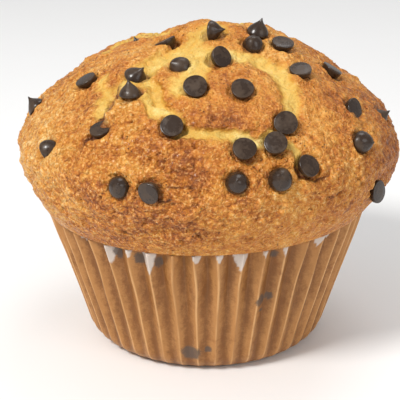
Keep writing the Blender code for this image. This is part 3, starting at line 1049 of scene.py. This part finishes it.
@dataclass
class PaperCase:
    """The pleated cup: one pleat, repeated round and made uneven."""

    form: CaseForm = field(default_factory=CaseForm)
    columns: tuple[float, ...] = (0.0, 0.02, 0.06, 0.14, 0.24, 0.34, 0.42, 0.465, 0.49)
    corner_steps: int = 8
    wall_rows: int = 34
    thickness: float = 0.12 * MM
    rim_gap: float = 0.3 * MM
    unevenness: float = 0.42 * MM
    waves: float = 6.5 * MM
    weld: float = 0.02 * MM
    bare_patches: tuple[tuple[float, float, float], ...] = (
        (-34.5, 2.8, 4.8), (-19.8, 3.0, 6.0), (-26.5, 1.4, 2.0), (-3.0, 1.7, 2.4),
        (4.5, 1.6, 2.4), (11.8, 3.0, 4.6), (20.0, 1.4, 2.0), (27.5, 1.5, 2.6),
        (42.0, 1.3, 3.0), (48.5, 1.2, 2.6), (-48.0, 1.2, 1.8), (-78.0, 1.6, 3.0),
    )
    smudges: tuple[tuple[float, float, float, float], ...] = (
        (-6.5, 5.0, 2.3, 1.9), (1.0, 5.8, 0.9, 0.9), (21.5, 17.6, 1.3, 1.6),
        (25.0, 18.2, 0.9, 1.1), (22.5, 15.0, 0.7, 0.6), (-32.0, 28.2, 1.0, 1.8),
        (-23.5, 27.6, 1.2, 1.6), (-16.5, 27.4, 0.9, 1.5), (24.0, 28.6, 1.0, 1.0),
        (95.0, 14.0, 2.2, 1.8), (140.0, 22.0, 1.5, 2.0), (176.0, 9.0, 2.4, 1.7),
        (215.0, 18.0, 1.7, 1.6), (248.0, 7.0, 1.9, 1.5), (-70.0, 12.0, 1.4, 1.4),
    )
    hidden_patches: int = 16
    seed: int = 23

    def pleat(self) -> Mesh:
        """One pleat at azimuth 0, from valley to valley, base to rim."""
        form = self.form
        half = [*self.columns, 0.5]
        across = np.array([*half, *[1.0 - share for share in reversed(half[:-1])]])
        fold = 1.0 - np.abs(1.0 - 2.0 * across)
        fold = np.clip((fold - 0.03) / 0.94, 0.0, 1.0) ** 1.25
        pitch = 360.0 / form.pleats
        turn = pitch * (across - 0.5)
        corner = form.corner_points(0.0, self.corner_steps)
        tops = np.linspace(form.corner_top, form.rim, self.wall_rows + 1)[1:]
        outline = [(0.3 * form.corner_middle, 0.0), (0.8 * form.corner_middle, 0.0), *corner]
        outline += [(float(form.wall_radius(top)), float(top)) for top in tops]
        rows = []
        for radius, height in outline:
            inner = radius - (1.0 - fold) * form.pleat_depth(np.array(height))
            rows.append(ring(turn, inner, height))
        count = len(across)
        points = np.concatenate(rows)
        faces = [(r * count + c, r * count + c + 1, (r + 1) * count + c + 1, (r + 1) * count + c)
                 for r in range(len(outline) - 1) for c in range(count - 1)]
        mesh = bpy.data.meshes.new("pleat")
        mesh.from_pydata(points.tolist(), [], faces)
        keep_numbers(mesh, "fold", np.tile(1.0 - fold, len(outline)))
        return mesh

    def tree(self, pleat: Object, finish: Material) -> GeometryTree:
        """The tree that turns one pleat into the whole uneven wall.

        Args:
            pleat: The object that holds one pleat.
            finish: The paper's material.

        Returns:
            The tree, ready to run.
        """
        tree = GeometryTree("pleated_wall", {
            "Pleat": pleat,
            "Pleats": self.form.pleats,
            "Phase": math.radians(self.form.phase),
            "Unevenness": self.unevenness,
            "Height": self.form.rim,
        })
        bench = tree.bench
        spots = bench.node("GeometryNodeMeshLine", None, {
            "Count": tree.given("Pleats"), "Offset": (0.0, 0.0, 0.0)})
        index = bench.node("GeometryNodeInputIndex")
        turn = index * (2.0 * math.pi) / tree.given("Pleats") + tree.given("Phase")
        turned = bench.node("ShaderNodeCombineXYZ", None, {"Z": turn})
        placed = tree.strewn(spots, tree.shape("Pleat"), turned, (1.0, 1.0, 1.0))
        whole = bench.node("GeometryNodeRealizeInstances", None, {"Geometry": placed})
        joined = bench.node("GeometryNodeMergeByDistance", None, {
            "Geometry": whole, "Distance": self.weld})
        spot = bench.node("GeometryNodeInputPosition")
        climb = bench.node("ShaderNodeSeparateXYZ", None, {0: spot}, "Z") / tree.given("Height")
        waver = bench.node("ShaderNodeTexNoise", {"noise_dimensions": "3D"}, {
            "Vector": bench.vector("MULTIPLY", spot, (1.0, 1.0, 0.25)),
            "Scale": 1.0 / self.waves, "Detail": 1.0}, "Color")
        centred = bench.vector("SUBTRACT", waver, (0.5, 0.5, 0.5))
        level = bench.vector("MULTIPLY", centred, (4.0, 4.0, 0.0))
        shift = bench.vector("SCALE", level, climb * tree.given("Unevenness"))
        uneven = bench.node("GeometryNodeSetPosition", None, {
            "Geometry": joined, "Offset": shift})
        soft = bench.node("GeometryNodeSetShadeSmooth", None, {"Geometry": uneven})
        tree.finish(soft, finish)
        return tree

    def build(self, finish: Material) -> Object:
        """Makes the case and marks what lies behind the paper."""
        pleat = shown("pleat", self.pleat())
        mesh = self.tree(pleat, finish).run(bpy.data.meshes.new("host"))
        bpy.data.objects.remove(pleat, do_unlink=True)
        points = places(mesh)
        turns = azimuths(points)
        top = self.form.rim_height(turns) - self.rim_gap
        above = np.clip(points[:, 2] / self.form.rim, 0.0, 1.0)
        wall = points[:, 2] > self.form.corner_top
        points[:, 2] += np.where(wall, (top - self.form.rim) * above ** 2, 0.0)
        mesh.vertices.foreach_set("co", points.astype(np.float32).ravel())
        keep_numbers(mesh, "bare", self.bareness(turns, top - points[:, 2]))
        keep_numbers(mesh, "smudge", self.smudging(turns, points))
        self.close_base(mesh)
        piece = shown("paper_cup", mesh)
        sheet = piece.modifiers.new("sheet", "SOLIDIFY")
        sheet.thickness = self.thickness
        sheet.offset = -1.0
        thick = baked(piece)
        piece.modifiers.clear()
        piece.data = thick
        settle(piece, "case_paper", "paper_case")
        return piece

    @staticmethod
    def close_base(mesh: Mesh) -> None:
        """Fills the hole in the middle of the flat base and turns every face out."""
        bm = bmesh.new()
        bm.from_mesh(mesh)
        edges = [edge for edge in bm.edges if edge.is_boundary
                 and all(vert.co.z < 0.1 * MM for vert in edge.verts)]
        bmesh.ops.holes_fill(bm, edges=edges, sides=len(edges) + 1)
        bmesh.ops.recalc_face_normals(bm, faces=bm.faces)
        lowest = min(bm.faces, key=lambda face: face.calc_center_median().z)
        if lowest.normal.z > 0.0:
            bmesh.ops.reverse_faces(bm, faces=bm.faces)
        for face in bm.faces:
            face.smooth = True
        bm.to_mesh(mesh)
        bm.free()

    def bareness(self, turns: np.ndarray, below: np.ndarray) -> np.ndarray:
        """Where the paper stands off the crumb: wedges that narrow down from the rim."""
        draw = random.Random(self.seed)
        patches = list(self.bare_patches)
        for _ in range(self.hidden_patches):
            patches.append((draw.uniform(95, 265), draw.uniform(1.4, 2.6), draw.uniform(2, 6)))
        bare = np.zeros(len(turns))
        for azimuth, width, drop in patches:
            aside = np.abs((turns - azimuth + 180.0) % 360.0 - 180.0)
            share = 1.0 - below / (drop * MM)
            bare = np.maximum(bare, smooth(aside / width, 1.15, 0.75)
                              * smooth(share, -0.1, 0.2)
                              * smooth(aside / width - share * 1.2, 0.2, -0.2))
        return bare

    def smudging(self, turns: np.ndarray, points: np.ndarray) -> np.ndarray:
        """Where a drop inside the crumb lies against the paper."""
        smudge = np.zeros(len(turns))
        for azimuth, height, wide, high in self.smudges:
            aside = np.radians((turns - azimuth + 180.0) % 360.0 - 180.0)
            aside = aside * self.form.wall_radius(points[:, 2]) / MM
            away = np.hypot(aside / wide, (points[:, 2] / MM - height) / high)
            smudge = np.maximum(smudge, smooth(away, 1.3, 0.6))
        return smudge


class DropKind(Enum):
    """The shapes that the drops have."""

    DOMED = "domed"  # a low dome with a small nub
    PEAKED = "peaked"  # a cone drawn up into a tip
    BUTTON = "button"  # seen from its flat base


@dataclass
class ChocolateDrops:
    """Every drop in the crust, in three shapes."""

    drops: list[Drop]
    peaked: frozenset[int] = frozenset({1, 3, 6, 7, 10, 16, 31, 35, 41, 44})
    height: float = 3.3 * MM
    bend: tuple[float, float] = (0.16, 0.05)
    size_share: float = 0.96
    size_spread: float = 0.06
    size_seed: int = 4
    spin_seed: int = 8
    sides: int = 40
    rows: int = 22
    outlines: dict[DropKind, tuple[tuple[float, float], ...]] = field(default_factory=lambda: {
        DropKind.DOMED: ((0.94, 0.0), (1.0, 0.06), (0.99, 0.2), (0.9, 0.42), (0.68, 0.64),
                         (0.4, 0.8), (0.17, 0.89), (0.07, 0.96), (0.0, 0.98)),
        DropKind.PEAKED: ((0.92, 0.0), (1.0, 0.07), (0.98, 0.18), (0.84, 0.38), (0.56, 0.6),
                          (0.3, 0.78), (0.14, 0.93), (0.07, 1.05), (0.0, 1.12)),
        DropKind.BUTTON: ((0.95, 0.0), (0.995, 0.025), (1.0, 0.1), (0.97, 0.24), (0.84, 0.45),
                          (0.55, 0.7), (0.25, 0.88), (0.1, 0.96), (0.0, 1.0)),
    })

    def shape(self, kind: DropKind) -> Mesh:
        """One drop of radius 1, base down, its tip bent a little to one side."""
        width, rise = resampled(self.outlines[kind], self.rows)
        turns = whole_turn(self.sides)
        dish = ((0.6, 0.0),)
        if kind is DropKind.BUTTON:
            dish = ((0.35, 0.0), (0.8, 0.0), (0.88, 0.012))
        tall = self.height / self.drops[0].radius

        def bent(up: float) -> np.ndarray:
            """The middle of the drop at a height."""
            return np.array([self.bend[0] * up ** 2, self.bend[1] * up ** 2, up * tall])

        rings = []
        for radius, up in (*dish, *zip(width[:-1], rise[:-1])):
            dent = 1.0 + 0.02 * np.sin(np.radians(turns * 3.0 + 140.0 * up))
            rings.append(facing(turns) * (radius * dent)[:, None] + bent(up))
        return ring_mesh(f"drop_{kind.value}", np.stack(rings), bent(rise[-1])[None, :])

    def kind_of(self, drop: Drop) -> DropKind:
        """A drop's shape, by how it lies."""
        outward = drop.base - UP * CrownForm().waist * 0.9
        outward /= np.linalg.norm(outward)
        if drop.axis @ outward < -0.2:
            return DropKind.BUTTON
        number = int(drop.node.rsplit("_", 1)[1])
        return DropKind.PEAKED if number in self.peaked else DropKind.DOMED

    def tree(self, shape: Object, finish: Material) -> GeometryTree:
        """The tree that sets a shape at every point of the host, turned as its points say."""
        tree = GeometryTree("set_drops", {
            "Shape": shape,
            "Radius": self.size_share * self.drops[0].radius,
            "Size Spread": self.size_spread,
            "Seed": self.size_seed,
        })
        bench = tree.bench
        spread = tree.given("Size Spread")
        size = bench.drawn(1.0 - spread, 1.0 + spread * 0.2, tree.given("Seed"))
        placed = tree.strewn(tree.given("Geometry"), tree.shape("Shape"),
                             bench.named("turn", "FLOAT_VECTOR"), size * tree.given("Radius"))
        tree.finish(placed, finish)
        return tree

    def build(self, finish: Material) -> list[Object]:
        """Makes one piece for each shape of drop."""
        pieces = []
        draw = random.Random(self.spin_seed)
        for kind in DropKind:
            chosen = [drop for drop in self.drops if self.kind_of(drop) is kind]
            host = bpy.data.meshes.new("drop_places")
            host.from_pydata([tuple(drop.base) for drop in chosen], [], [])
            turns = []
            for drop in chosen:
                spin = Matrix.Rotation(draw.uniform(0.0, 2.0 * math.pi), 3, "Z")
                lie = Vector((0, 0, 1)).rotation_difference(Vector(drop.axis)).to_matrix()
                turns.extend((lie @ spin).to_euler())
            host.attributes.new("turn", "FLOAT_VECTOR", "POINT").data.foreach_set(
                "vector", np.array(turns, np.float32))
            shape = shown("drop_shape", self.shape(kind))
            mesh = self.tree(shape, finish).run(host)
            bpy.data.objects.remove(shape, do_unlink=True)
            piece = shown(f"drops_{kind.value}", mesh)
            settle(piece, "chocolate", *[drop.node for drop in chosen])
            pieces.append(piece)
        return pieces


@dataclass
class LooseCrumbs:
    """Crumbs and flakes that cling to the crust."""

    per_square_metre: float = 600000.0
    smallest: float = 0.07 * MM
    largest: float = 0.24 * MM
    seed: int = 12
    bare_below: tuple[float, float] = (30.0 * MM, 33.0 * MM)

    def tree(self, finish: Material) -> GeometryTree:
        """The tree that strews crumbs over the host by its number "crumbly"."""
        tree = GeometryTree("strew_crumbs", {
            "Density": self.per_square_metre,
            "Smallest": self.smallest,
            "Largest": self.largest,
            "Seed": self.seed,
        })
        bench = tree.bench
        seed = tree.given("Seed")
        spots = bench.node("GeometryNodeDistributePointsOnFaces", None, {
            "Mesh": tree.given("Geometry"), "Seed": seed,
            "Density": bench.named("crumbly") * tree.given("Density")}, "Points")
        crumb = bench.node("GeometryNodeMeshIcoSphere", None, {"Radius": 1.0, "Subdivisions": 1})
        size = bench.drawn(tree.given("Smallest"), tree.given("Largest"), seed)
        squash = bench.drawn((0.6, 0.6, 0.4), (1.3, 1.3, 0.9), seed)
        turn = bench.drawn((0.0, 0.0, 0.0), (6.28, 6.28, 6.28), seed)
        placed = tree.strewn(spots, crumb, turn, bench.vector("SCALE", squash, size))
        tree.finish(placed, finish)
        return tree

    def build(self, muffin: Object, finish: Material) -> Object:
        """Strews the crumbs over the crown.

        Args:
            muffin: The finished crust.
            finish: Its material, which the crumbs share.

        Returns:
            The crumbs as one piece.
        """
        host = muffin.data.copy()
        points = places(host)
        torn, hollow = kept_numbers(host, "torn"), kept_numbers(host, "hollow")
        clear = smooth(points[:, 2], *self.bare_below) * (1.0 - hollow)
        clumps = smooth(sampled(points, 5 * MM, fractal(2)), -0.1, 0.5)
        keep_numbers(host, "crumbly", clear * (0.12 + clumps) * (1.0 - 0.85 * torn))
        mesh = self.tree(finish).run(host)
        piece = shown("loose_crumbs", mesh)
        settle(piece, "baked_crumb")
        return piece


# ---------------------------------------------------------------- studio


def stand(name: str, data: bpy.types.ID, place: Vector, look: Vector) -> Object:
    """Puts a lamp or a camera at a place, looking along a direction."""
    made = bpy.data.objects.new(name, data)
    made.location = place
    made.rotation_euler = look.to_track_quat("-Z", "Y").to_euler()
    bpy.context.scene.collection.objects.link(made)
    return made


def toward(azimuth: float, elevation: float) -> Vector:
    """The unit vector at an azimuth and a height above the horizon, in degrees."""
    return Vector(rays(np.array(azimuth), np.array(90.0 - elevation)))


@dataclass(frozen=True)
class Lamp:
    """A soft box: where it stands, its size, strength and colour."""

    name: str
    azimuth: float
    elevation: float
    distance: float
    size: float
    watts: float
    colour: Colour = (1.0, 1.0, 1.0)

    def hang(self, target: Vector) -> None:
        """Puts the lamp up, aimed at the target."""
        light = bpy.data.lights.new(self.name, "AREA")
        light.shape = "DISK"
        light.size = self.size
        light.energy = self.watts
        light.color = self.colour
        way = toward(self.azimuth, self.elevation)
        stand(self.name, light, target + way * self.distance, -way)


@dataclass
class Studio:
    """Table, lights and camera."""

    target: Vector = field(default_factory=lambda: Vector((0.0, 0.0, 30.0 * MM)))
    distance: float = 260.0 * MM
    elevation: float = 20.0
    aim: Vector = field(default_factory=lambda: Vector((-1.33 * MM, 0.0, 28.8 * MM)))
    lens: float = 106.9
    ambient: float = 0.5
    lamps: tuple[Lamp, ...] = (
        Lamp("key", -42.0, 46.0, 0.75, 0.2, 4.8, (1.0, 0.985, 0.96)),
        Lamp("fill", 42.0, 26.0, 0.85, 0.5, 1.4),
        Lamp("top", 150.0, 66.0, 0.75, 0.4, 1.2),
    )

    def set_up(self) -> None:
        """Makes the table, the lights, the surroundings and the camera."""
        bm = bmesh.new()
        bmesh.ops.create_grid(bm, x_segments=8, y_segments=8, size=3.0)
        mesh = bpy.data.meshes.new("table")
        bm.to_mesh(mesh)
        bm.free()
        table = shown("table", mesh, TableFinish("pale_table", (("Roughness", 0.6),)).material())
        for lamp in self.lamps:
            lamp.hang(self.target)
        world = bpy.data.worlds.new("surroundings")
        world.use_nodes = True
        sky = world.node_tree.nodes["Background"]
        sky.inputs["Color"].default_value = (1.0, 1.0, 1.0, 1.0)
        sky.inputs["Strength"].default_value = self.ambient
        bpy.context.scene.world = world
        bpy.context.scene.view_settings.view_transform = "Standard"
        self.place_camera()

    def place_camera(self) -> None:
        """Puts the camera up."""
        data = bpy.data.cameras.new("camera")
        data.lens = self.lens
        data.sensor_width = 36.0
        data.clip_start = 10.0 * MM
        place = self.target + toward(0.0, self.elevation) * self.distance
        bpy.context.scene.camera = stand("camera", data, place, self.aim - place)


def chip_nodes(names: Iterable[str]) -> list[str]:
    """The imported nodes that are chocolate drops, in order."""
    return sorted(name for name in names if name.startswith("chip_"))


def main() -> None:
    """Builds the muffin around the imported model."""
    logging.basicConfig(level=logging.INFO, format="%(name)s: %(message)s")
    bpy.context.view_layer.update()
    Studio().set_up()

    crust = CrustFinish("baked_crust", (
        ("Subsurface Weight", 0.12), ("Subsurface Radius", (1.0, 0.55, 0.25)),
        ("Subsurface Scale", 1.2 * MM), ("Coat Roughness", 0.25),
        ("Specular IOR Level", 0.34))).material()
    paper = PaperFinish("greaseproof_paper", (("Specular IOR Level", 0.3),)).material()
    chocolate = ChocolateFinish("dark_chocolate", (
        ("Specular IOR Level", 0.36), ("Coat Weight", 0.12), ("Coat Roughness", 0.15))).material()

    drops = [Drop.from_node(name) for name in chip_nodes(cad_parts)]
    muffin = Muffin().build(drops, crust)
    LooseCrumbs().build(muffin, crust)
    PaperCase().build(paper)
    ChocolateDrops(drops).build(chocolate)


if __name__ == "__main__":
    main()
